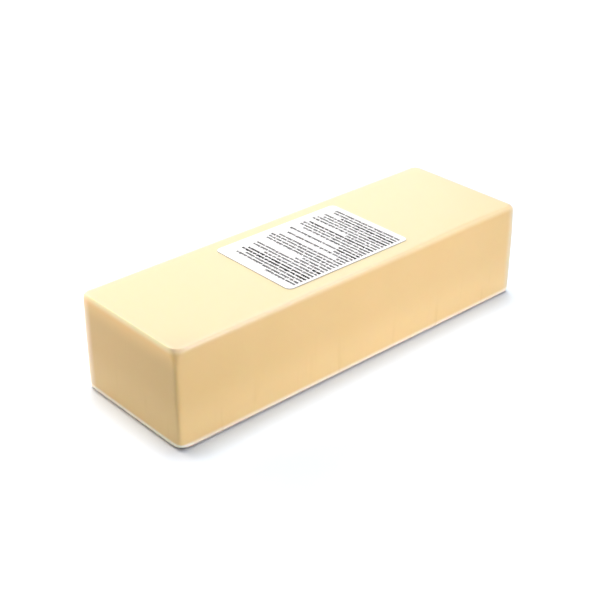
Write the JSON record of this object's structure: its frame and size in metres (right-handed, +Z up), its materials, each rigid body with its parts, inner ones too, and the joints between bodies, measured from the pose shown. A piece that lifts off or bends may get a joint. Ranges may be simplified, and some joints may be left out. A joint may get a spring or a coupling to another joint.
{
  "type": "mozzarella block",
  "caption": "Whole rectangular block of firm pale yellow pizza mozzarella with rounded edges and a plain paper label on its top face.",
  "frame": {"origin": "middle of the flat underside of the cheese", "axes": "+X along the block's length, +Y across its width, +Z up through the labelled top face"},
  "size_m": [0.2902, 0.0958, 0.0677],
  "materials": {
    "cheese": "pale yellow firm cheese, smooth and satin, slightly translucent",
    "label_paper": "white satin label paper with small grey printed bars"
  },
  "bodies": {
    "root": {"cheese_block": "cheese", "label": "label_paper"}
  },
  "joints": []
}
